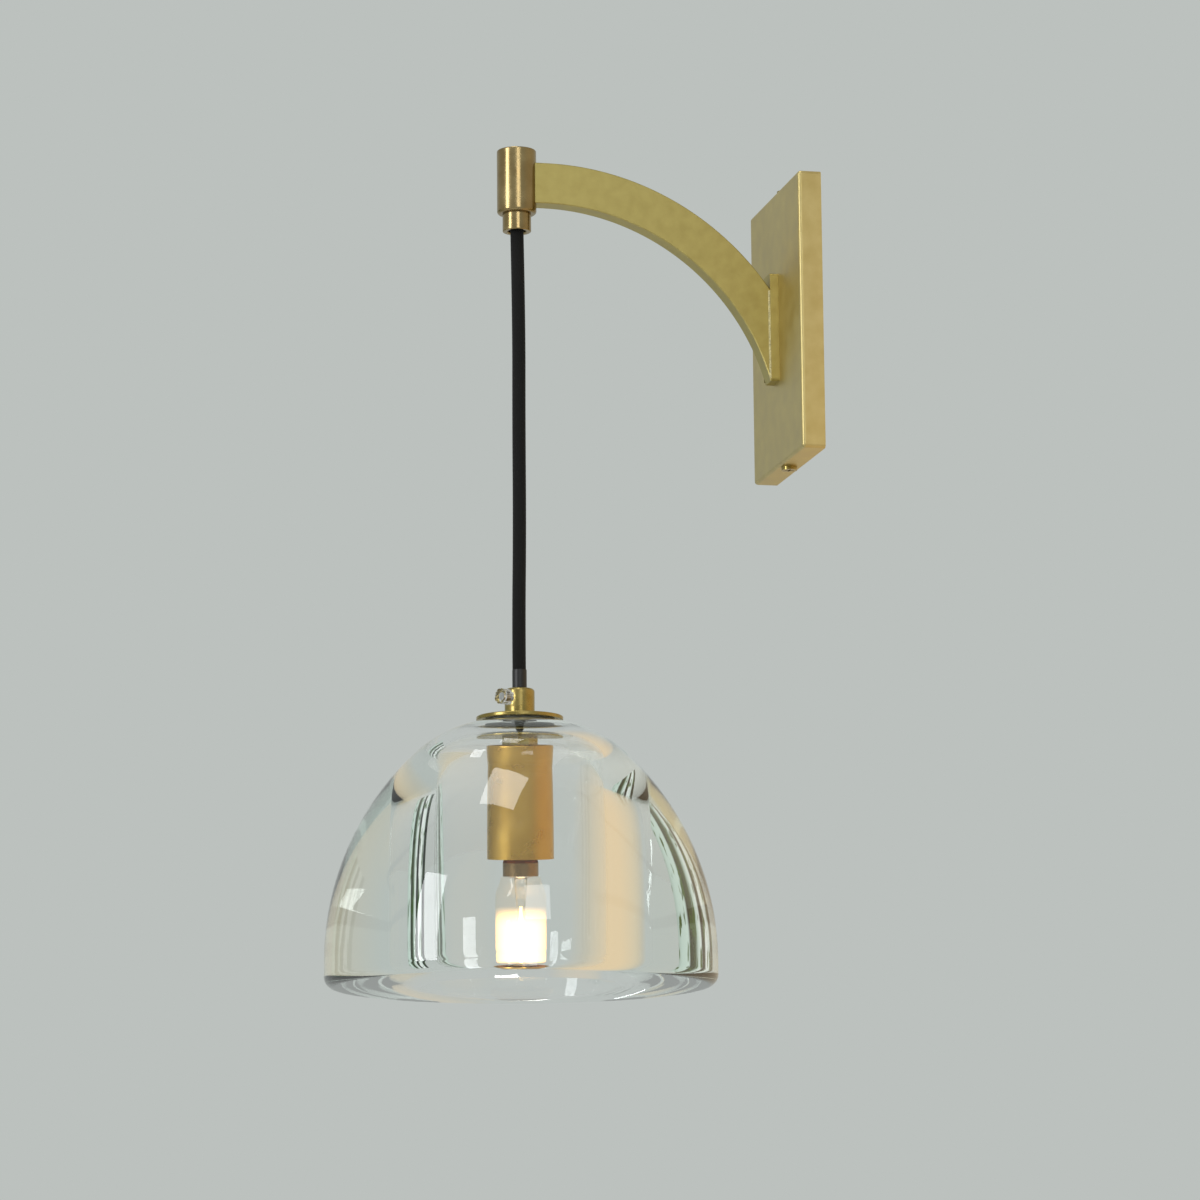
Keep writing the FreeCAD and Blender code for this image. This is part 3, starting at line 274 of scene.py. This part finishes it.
# satin brass: drawn or turned brass, hand-finished with a fine abrasive, lacquered; soft reflections with
# cloudy patches cloudMm wide and fine scratches scratchMm apart, drawn out along the piece
def satinBrass(name, light, dark, roughness, along, cloudMm=9, scratchMm=0.3):
    s = brassSet
    material, tree = newMaterial(name)
    place = addNode(tree, "ShaderNodeTexCoord").outputs["Object"]
    cloud = addNode(tree, "ShaderNodeTexNoise", {"Vector": place, "Scale": 1 / (cloudMm * mm),
                                                 "Detail": 4.0}).outputs["Fac"]
    drawn = addNode(tree, "ShaderNodeMapping", {"Vector": place, "Scale": along}).outputs[0]
    scratch = addNode(tree, "ShaderNodeTexNoise", {"Vector": drawn, "Scale": 1 / (scratchMm * mm),
                                                   "Detail": 2.0}).outputs["Fac"]
    grain = addNode(tree, "ShaderNodeTexNoise", {"Vector": place, "Scale": 1 / (s["grainMm"] * mm),
                                                 "Detail": 2.0}).outputs["Fac"]
    colour = addNode(tree, "ShaderNodeValToRGB", {"Fac": cloud},
                     stops=[(s["dark"], srgb(dark)), (s["light"], srgb(light))]).outputs["Color"]
    rough = addNode(tree, "ShaderNodeMapRange", {
        "Value": cloud, "From Min": s["dark"], "From Max": s["light"],
        "To Min": roughness - s["shinier"], "To Max": roughness + s["duller"]}).outputs[0]
    height = addNode(tree, "ShaderNodeMath", {0: scratch, 1: grain}, operation="ADD").outputs[0]
    relief = addNode(tree, "ShaderNodeBump", {"Height": height, "Strength": s["bump"],
                                              "Distance": s["reliefMm"] * mm}).outputs[0]
    shade = addNode(tree, "ShaderNodeBsdfPrincipled", {"Base Color": colour, "Metallic": 1.0,
                                                       "Roughness": rough, "Normal": relief})
    addNode(tree, "ShaderNodeOutputMaterial", {"Surface": shade.outputs[0]})
    return material


plainSet = {"dark": 0.35, "light": 0.65, "reliefMm": 0.05}


# finish of a small piece: one colour with a fine mottling, and a soft relief of the same grain
def plainFinish(name, colour, metallic, roughness, grainMm, spread, bump=0.1, extra=None):
    material, tree = newMaterial(name)
    place = addNode(tree, "ShaderNodeTexCoord").outputs["Object"]
    grain = addNode(tree, "ShaderNodeTexNoise", {"Vector": place, "Scale": 1 / (grainMm * mm),
                                                 "Detail": 3.0}).outputs["Fac"]
    base = srgb(colour)
    lower = tuple(v * (1 - spread) for v in base[:3]) + (1,)
    upper = tuple(min(1, v * (1 + spread)) for v in base[:3]) + (1,)
    tone = addNode(tree, "ShaderNodeValToRGB", {"Fac": grain},
                   stops=[(plainSet["dark"], lower), (plainSet["light"], upper)]).outputs["Color"]
    relief = addNode(tree, "ShaderNodeBump", {"Height": grain, "Strength": bump,
                                              "Distance": plainSet["reliefMm"] * mm}).outputs[0]
    inputs = {"Base Color": tone, "Metallic": metallic, "Roughness": roughness, "Normal": relief}
    inputs.update(extra or {})
    shade = addNode(tree, "ShaderNodeBsdfPrincipled", inputs)
    addNode(tree, "ShaderNodeOutputMaterial", {"Surface": shade.outputs[0]})
    return material


# clear glass or acrylic, poured and fire polished or moulded: sharp refraction, a slight tint where it is
# thick. light for shadows passes straight through, so that what is inside it is lit
def clearGlass(name, ior, tint, density, roughness=0.0):
    material, tree = newMaterial(name)
    glass = addNode(tree, "ShaderNodeBsdfPrincipled", {"Base Color": srgb("#FFFFFF"), "Roughness": roughness,
                                                       "IOR": ior, "Transmission Weight": 1.0})
    through = addNode(tree, "ShaderNodeBsdfTransparent", {"Color": srgb("#F7F9F8")})
    shadow = addNode(tree, "ShaderNodeLightPath").outputs["Is Shadow Ray"]
    mixed = addNode(tree, "ShaderNodeMixShader", {0: shadow, 1: glass.outputs[0], 2: through.outputs[0]})
    inside = addNode(tree, "ShaderNodeVolumeAbsorption", {"Color": srgb(tint), "Density": density})
    addNode(tree, "ShaderNodeOutputMaterial", {"Surface": mixed.outputs[0], "Volume": inside.outputs[0]})
    return material


brassPlate = satinBrass("satinBrassPlate", "#CCBB84", "#BEAB72", 0.42, (1, 1, 0.04))
brassArm = satinBrass("satinBrassArm", "#BBAC6C", "#AD9D5F", 0.42, (1, 0.06, 0.12), 6)
brassHub = satinBrass("turnedBrassHub", "#A59269", "#917C54", 0.24, (1, 1, 0.06), scratchMm=0.25)
brassSmall = satinBrass("turnedBrassFittings", "#A9965C", "#96834A", 0.27, (0.1, 0.1, 1), 5, 0.2)
brassCup = satinBrass("drawnBrassCup", "#C9A252", "#BB9243", 0.3, (1, 1, 0.05), 12, 0.25)
# silver alloy left rough as it froze in the joint; pressed steel plated with zinc; steel turned bright
brazeSilver = plainFinish("silverBrazeFillet", "#ADA37A", 1.0, 0.6, 0.9, 0.35, 1.0)
zincSteel = plainFinish("zincPlatedSteel", "#B9BCBC", 1.0, 0.38, 1.2, 0.1)
machinedSteel = plainFinish("machinedSteelScrews", "#A9A9A8", 1.0, 0.3, 0.4, 0.1)
# tube shrunk on with heat; cut sheet of clear silicone; phenolic pressed in a mould
shrinkTube = plainFinish("heatShrinkTube", "#171718", 0.0, 0.42, 0.8, 0.1, 0.15)
silicone = plainFinish("clearSiliconeGasket", "#C9CDC8", 0.0, 0.35, 0.8, 0.05, 0.05,
                       {"Transmission Weight": 0.7, "IOR": 1.41})
phenolic = plainFinish("mouldedPhenolicHolder", "#241A15", 0.0, 0.45, 0.9, 0.15)
# rolled spring brass; drawn brass plated with nickel; black glass fused round the contact
contactBrass = plainFinish("springBrassContact", "#D8BC70", 1.0, 0.3, 0.6, 0.08)
capMetal = plainFinish("nickelledBrassCap", "#8E7350", 1.0, 0.22, 0.9, 0.2)
vitrite = plainFinish("vitriteInsulator", "#0C0D10", 0.0, 0.12, 1.0, 0.1)
# moulded nylon; vinyl extruded over the copper
nylonBlock = plainFinish("nylonTerminalBlock", "#E4E3DC", 0.0, 0.5, 0.8, 0.04)
brownWire = plainFinish("brownVinylWire", "#4A2A18", 0.0, 0.38, 0.6, 0.08)
blueWire = plainFinish("blueVinylWire", "#1C4C9C", 0.0, 0.38, 0.6, 0.08)
# drawn nickel wire, with a painted warm glow that stands for the filament's light on it
leadsWithPaintedGlow = plainFinish("nickelLeadsPaintedGlow", "#A8A6A0", 1.0, 0.3, 0.2, 0.1,
                       extra={"Emission Color": srgb("#FFD27A"), "Emission Strength": 5.0})
knobPlastic = clearGlass("mouldedAcrylicKnob", 1.49, "#E8F0EE", 4.0, 0.03)
shadeGlass = clearGlass("pouredGlassShade", 1.52, "#CFEBDD", 1.6)
stemGlass = clearGlass("lampStemGlass", 1.5, "#FFFFFF", 0.0)

earthSet = {"green": "#2F8A34", "yellow": "#E6D32A", "bandMm": 9, "greenTo": 0.48, "yellowFrom": 0.52}


# earth wire: extruded green vinyl with a yellow stripe, in slanting bands of bandMm
def earthVinyl(s):
    material, tree = newMaterial("stripedEarthVinyl")
    place = addNode(tree, "ShaderNodeTexCoord").outputs["Object"]
    bandScale = 1 / (s["bandMm"] * mm) / (2 * math.pi)
    band = addNode(tree, "ShaderNodeTexWave", {"Vector": place, "Scale": bandScale},
                   bands_direction="DIAGONAL").outputs["Fac"]
    stops = [(s["greenTo"], srgb(s["green"])), (s["yellowFrom"], srgb(s["yellow"]))]
    tone = addNode(tree, "ShaderNodeValToRGB", {"Fac": band}, stops=stops).outputs["Color"]
    shade = addNode(tree, "ShaderNodeBsdfPrincipled", {"Base Color": tone, "Roughness": 0.38})
    addNode(tree, "ShaderNodeOutputMaterial", {"Surface": shade.outputs[0]})
    return material


# tungsten at working heat: its own light and little else
def hotTungsten():
    material, tree = newMaterial("hotTungsten")
    shade = addNode(tree, "ShaderNodeBsdfPrincipled", {
        "Base Color": srgb("#3A3430"), "Metallic": 1.0, "Roughness": 0.4,
        "Emission Color": srgb("#FFD79A"), "Emission Strength": 14.0})
    addNode(tree, "ShaderNodeOutputMaterial", {"Surface": shade.outputs[0]})
    return material


nodeFinish = {
    "backplate_cover": brassPlate, "cover_screws": brassSmall, "foot_plate": brassArm, "arm": brassArm,
    "wall_bracket": zincSteel, "foot_screws": machinedSteel, "earth_screw": machinedSteel,
    "foot_braze": brazeSilver, "hub": brassHub, "hub_cap": brassHub, "outlet_bush": brassHub,
    "bush_nut": brassSmall, "cord_stop": zincSteel, "cord_tail": shrinkTube, "cord_bend": shrinkTube,
    "cord_sleeve": shrinkTube, "cord_collar": brassSmall, "grip_screw_stud": machinedSteel,
    "grip_screw_knob": knobPlastic, "shade_disc": brassSmall, "upper_gasket": silicone,
    "lower_gasket": silicone, "inner_washer": brassSmall, "lock_nut": brassSmall,
    "threaded_nipple": zincSteel, "socket_cup": brassCup, "holder_cap": phenolic, "holder_body": phenolic,
    "holder_shell": contactBrass, "centre_contact": contactBrass, "core_live": brownWire,
    "core_neutral": blueWire, "lamp_cap_shell": capMetal, "lamp_insulator": vitrite,
    "lamp_tip_contact": contactBrass, "lamp_stem": stemGlass, "lamp_lead_wires": leadsWithPaintedGlow,
    "lamp_filament": hotTungsten(), "terminal_block": nylonBlock, "terminal_screws": machinedSteel,
    "wire_live": brownWire, "wire_earth": earthVinyl(earthSet), "wire_neutral": blueWire,
}
for node, finish in nodeFinish.items():
    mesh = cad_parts[node].data
    mesh.materials.clear()
    mesh.materials.append(finish)
print("stage: finishes on the metal and plastic parts")

# cord: a braided cotton sleeve over two cores; route in metres, from the bush down to the collar
cordSet = {
    "route": [(0.0, -0.1357, 0.0427), (0.0001, -0.1350, 0.0), (0.0, -0.1353, -0.05), (-0.0001, -0.1352, -0.1),
              (0.0, -0.1360, -0.15), (0.0, -0.1357, -0.1841)],
    "radius": 3.15 * mm, "relief": 0.16 * mm, "yarns": 8, "pitch": 9 * mm, "crown": 0.5, "dip": 0.45,
    "around": 96, "step": 0.36 * mm, "dark": "#0B0B0B", "light": "#1D1D1C", "fibreMm": 0.25, "fuzzMm": 0.08,
}


# black cotton braid: matt yarns with very little sheen, lighter on their fibres
def cottonBraid(s):
    material, tree = newMaterial("blackCottonBraid")
    place = addNode(tree, "ShaderNodeTexCoord").outputs["Object"]
    fibre = addNode(tree, "ShaderNodeTexNoise", {"Vector": place, "Scale": 1 / (s["fibreMm"] * mm),
                                                 "Detail": 4.0}).outputs["Fac"]
    tone = addNode(tree, "ShaderNodeValToRGB", {"Fac": fibre},
                   stops=[(0.3, srgb(s["dark"])), (0.75, srgb(s["light"]))]).outputs["Color"]
    relief = addNode(tree, "ShaderNodeBump", {"Height": fibre, "Strength": 0.5,
                                              "Distance": s["fuzzMm"] * mm}).outputs[0]
    shade = addNode(tree, "ShaderNodeBsdfPrincipled", {
        "Base Color": tone, "Roughness": 0.9, "Normal": relief, "Specular IOR Level": 0.2,
        "Sheen Weight": 0.05, "Sheen Roughness": 0.5})
    addNode(tree, "ShaderNodeOutputMaterial", {"Surface": shade.outputs[0]})
    return material


# the centre line: a smooth curve pulled towards the route's points, read back as points of its own
line = bpy.data.curves.new("cordLine", "CURVE")
line.dimensions = "3D"
spline = line.splines.new("NURBS")
spline.points.add(len(cordSet["route"]) - 1)
for point, at in zip(spline.points, cordSet["route"]):
    point.co = (*at, 1)
spline.order_u = 3
spline.use_endpoint_u = True
spline.resolution_u = 12
lineObject = bpy.data.objects.new("cordLine", line)
bpy.context.scene.collection.objects.link(lineObject)
bpy.context.view_layer.update()
lineMesh = bpy.data.meshes.new_from_object(lineObject)
path = np.empty(len(lineMesh.vertices) * 3, np.float32)
lineMesh.vertices.foreach_get("co", path)
path = path.reshape(-1, 3).astype(float)
bpy.data.objects.remove(lineObject)
bpy.data.meshes.remove(lineMesh)

# braid: a tube round the centre line whose radius is the larger of two sets of rounded yarns, one winding
# each way, each set rising over the other every half diamond
lengths = np.concatenate([[0], np.cumsum(np.linalg.norm(np.diff(path, axis=0), axis=1))])
along = np.linspace(0, lengths[-1], int(lengths[-1] / cordSet["step"]))
middle = np.stack([np.interp(along, lengths, path[:, k]) for k in range(3)], axis=-1)
angle = np.linspace(0, 2 * np.pi, cordSet["around"], endpoint=False)
winding = 2 * np.pi * along[:, None] / (cordSet["pitch"] * 2)
turn = cordSet["yarns"] * (angle[None, :] + winding)
back = cordSet["yarns"] * (angle[None, :] - winding)
over = 0.5 + 0.5 * np.sin(turn) * np.sin(back)
crown, dip = cordSet["crown"], cordSet["dip"]
yarnA = np.abs(np.cos(turn / 2)) ** crown * (1.0 - dip + dip * over)
yarnB = np.abs(np.cos(back / 2)) ** crown * (1.0 - dip * over)
radius = cordSet["radius"] - cordSet["relief"] * (1 - np.maximum(yarnA, yarnB))
cordPoints = np.stack([middle[:, None, 0] + radius * np.cos(angle),
                       middle[:, None, 1] + radius * np.sin(angle),
                       middle[:, None, 2] + 0 * radius], axis=-1).reshape(-1, 3)
cordFaces = gridFaces(len(along), cordSet["around"], False, True)[:, ::-1]
last = (len(along) - 1) * cordSet["around"]
cap = np.arange(cordSet["around"])
cordEnds = [cap.tolist(), (last + cap)[::-1].tolist()]
cordMesh = bpy.data.meshes.new("cordBraid")
cordMesh.from_pydata(cordPoints.tolist(), [], cordFaces.tolist() + cordEnds)
cordMesh.polygons.foreach_set("use_smooth", np.ones(len(cordMesh.polygons), bool))
cordMesh.materials.append(cottonBraid(cordSet))
cordMesh.update()
cord = bpy.data.objects.new("cordBraid", cordMesh)
bpy.context.scene.collection.objects.link(cord)
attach(cord, "cord")
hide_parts("cord")
print("stage: cord braided")

# glass shade, millimetres; heights count up from the rim
shadeSet = {
    "radius": 89.8, "height": 121.6, "widest": 11.7, "footEdge": 5.0, "disc": 20.0, "shoulderOut": 28.143,
    "shoulderDrop": 14.091, "hole": 6.0, "topWall": 11.6, "cavity": 39.3, "seat": 18.0, "lip": 11.0,
    "softEdge": 0.5, "around": 300,
}


# the shade's outline: lip, flat foot, foot edge, flank, shoulder, top, hole, ceiling, the cavity's rounded
# end and its straight side, each an arc or a line that ends where the next starts; the last number of each
# is its number of points
def shadeProfile(s):
    joint = np.array([s["disc"] + s["shoulderOut"], s["height"] - s["shoulderDrop"]])
    run, climb = s["radius"] - joint[0], joint[1] - s["widest"]
    flank = (run ** 2 + climb ** 2) / (2 * run)
    lift = math.degrees(math.asin(climb / flank))
    normal = np.array([math.cos(math.radians(lift)), math.sin(math.radians(lift))])
    step = np.array([s["disc"], s["height"]]) - joint
    outer = -step.dot(step) / (2 * step.dot(normal))
    outerMid = joint - outer * normal
    endAngle = math.degrees(math.atan2(s["height"] - outerMid[1], s["disc"] - outerMid[0]))
    ceiling = s["height"] - s["topWall"]
    inner = s["cavity"] - s["seat"]
    e, foot, lip = s["softEdge"], s["footEdge"], s["lip"]
    return np.vstack([
        arcPoints(s["cavity"] + lip, lip, lip, 180, 270, 32),
        linePoints((s["cavity"] + lip, 0), (s["radius"] - foot, 0), 10),
        arcPoints(s["radius"] - foot, foot, foot, -90, 0, 18),
        linePoints((s["radius"], foot), (s["radius"], s["widest"]), 2),
        arcPoints(s["radius"] - flank, s["widest"], flank, 0, lift, 56)[:-1],
        arcPoints(outerMid[0], outerMid[1], outer, lift, endAngle, 28),
        linePoints((s["disc"], s["height"]), (s["hole"] + e, s["height"]), 4),
        arcPoints(s["hole"] + e, s["height"] - e, e, 90, 180, 6),
        arcPoints(s["hole"] + e, ceiling + e, e, 180, 270, 6),
        linePoints((s["hole"] + e, ceiling), (s["seat"], ceiling), 4),
        arcPoints(s["seat"], ceiling - inner, inner, 90, 0, 44),
        linePoints((s["cavity"], ceiling - inner), (s["cavity"], lip), 24),
    ]) * mm


profile = shadeProfile(shadeSet)
profile[:, 1] += glassRim
shadeFaces = gridFaces(len(profile), shadeSet["around"], True, True)
shade = makePiece("pouredShade", turnedPoints(profile, shadeSet["around"]), shadeFaces, "pendant", shadeGlass)
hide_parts("glass_shade")
print("stage: glass shade turned,", len(shadeFaces) * 2, "triangles")

# lamp: glass envelope with a glow in it, and a point light for what the glow casts. millimetres; heights
# count up from the neck, except that clearTo, fullFrom and lightDrop count down from it
lampSet = {
    "neck": 9.2, "radius": 11.7, "length": 32.0, "shoulder": 7.0, "end": 7.5, "plug": 3.0, "plugFoot": 0.3,
    "plugRadius": 7.7, "pole": 0.01, "around": 96, "glow": "#FFC670", "glowStrength": 230.0, "faint": 0.012,
    "clearTo": 9.5, "fullFrom": 17.0, "glossHeadOn": 0.03, "glossSlanted": 0.7, "glossPower": 5.0,
    "lightPower": 1.6, "lightColour": "#FFC37A", "lightSize": 6.0, "lightDrop": 20.0,
}


# lit gas and glass of a clear tubular lamp: thin blown glass, glossier where it is seen at a slant, clear at
# the top, and inside it a warm glow that starts clearTo under the neck and is full from fullFrom down
def litLampGlass(s):
    material, tree = newMaterial("litLampGlass")
    place = addNode(tree, "ShaderNodeTexCoord").outputs["Object"]
    height = addNode(tree, "ShaderNodeSeparateXYZ", {0: place}).outputs["Z"]
    glow = addNode(tree, "ShaderNodeMapRange", {
        "Value": height, "From Min": lampNeck - s["clearTo"] * mm, "From Max": lampNeck - s["fullFrom"] * mm,
        "To Min": s["faint"], "To Max": 1.0}, interpolation_type="SMOOTHSTEP").outputs[0]
    strength = addNode(tree, "ShaderNodeMath", {0: glow, 1: s["glowStrength"]}, operation="MULTIPLY")
    light = addNode(tree, "ShaderNodeEmission", {"Color": srgb(s["glow"]), "Strength": strength.outputs[0]})
    turned = addNode(tree, "ShaderNodeLayerWeight", {"Blend": 0.5}).outputs["Facing"]
    steep = addNode(tree, "ShaderNodeMath", {0: turned, 1: s["glossPower"]}, operation="POWER").outputs[0]
    edge = addNode(tree, "ShaderNodeMath", {0: steep, 1: s["glossSlanted"], 2: s["glossHeadOn"]},
                   operation="MULTIPLY_ADD").outputs[0]
    clear = addNode(tree, "ShaderNodeBsdfTransparent", {"Color": srgb("#FCFAF7")})
    gloss = addNode(tree, "ShaderNodeBsdfGlossy", {"Color": srgb("#FFFFFF"), "Roughness": 0.0})
    skin = addNode(tree, "ShaderNodeMixShader", {0: edge, 1: clear.outputs[0], 2: gloss.outputs[0]})
    addNode(tree, "ShaderNodeOutputMaterial", {"Surface": skin.outputs[0], "Volume": light.outputs[0]})
    return material


# the envelope's outline down from the neck: plug, shoulder that widens from neck to radius by 3 t^2 - 2 t^3,
# straight side, domed end; the last number of a line or an arc is its number of points
def lampProfile(s):
    dome = (s["radius"] ** 2 + s["end"] ** 2) / (2 * s["end"])
    half = math.degrees(math.asin(s["radius"] / dome))
    t = np.linspace(0, 1, 18)
    bulge = s["neck"] + (s["radius"] - s["neck"]) * (3 * t ** 2 - 2 * t ** 3)
    flare = np.stack([bulge, -s["shoulder"] * t], axis=-1)
    return np.vstack([
        [[0.0, s["plug"]]],
        linePoints((0, s["plug"]), (s["plugRadius"], s["plug"]), 3),
        [[s["plugRadius"], s["plug"]], [s["plugRadius"], s["plugFoot"]]],
        flare[1:],
        linePoints((s["radius"], -s["shoulder"]), (s["radius"], s["end"] - s["length"]), 10),
        arcPoints(0, dome - s["length"], dome, half - 90, -90, 24),
    ]) * mm


profile = lampProfile(lampSet)
profile[0, 0] = profile[-1, 0] = lampSet["pole"] * mm
profile[:, 1] += lampNeck
bulbFaces = gridFaces(len(profile), lampSet["around"], False, True)[:, ::-1]
bulb = makePiece("lampEnvelope", turnedPoints(profile, lampSet["around"]), bulbFaces, "lamp",
                 litLampGlass(lampSet))
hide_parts("lamp_glass")
glowLight = bpy.data.lights.new("lampLight", "POINT")
glowLight.energy = lampSet["lightPower"]
glowLight.color = srgb(lampSet["lightColour"])[:3]
glowLight.shadow_soft_size = lampSet["lightSize"] * mm
glow = bpy.data.objects.new("lampLight", glowLight)
glow.location = (0, hubY, lampNeck - lampSet["lightDrop"] * mm)
for way in ("visible_camera", "visible_glossy", "visible_transmission"):
    setattr(glow, way, False)
bpy.context.scene.collection.objects.link(glow)
print("stage: lamp lit")
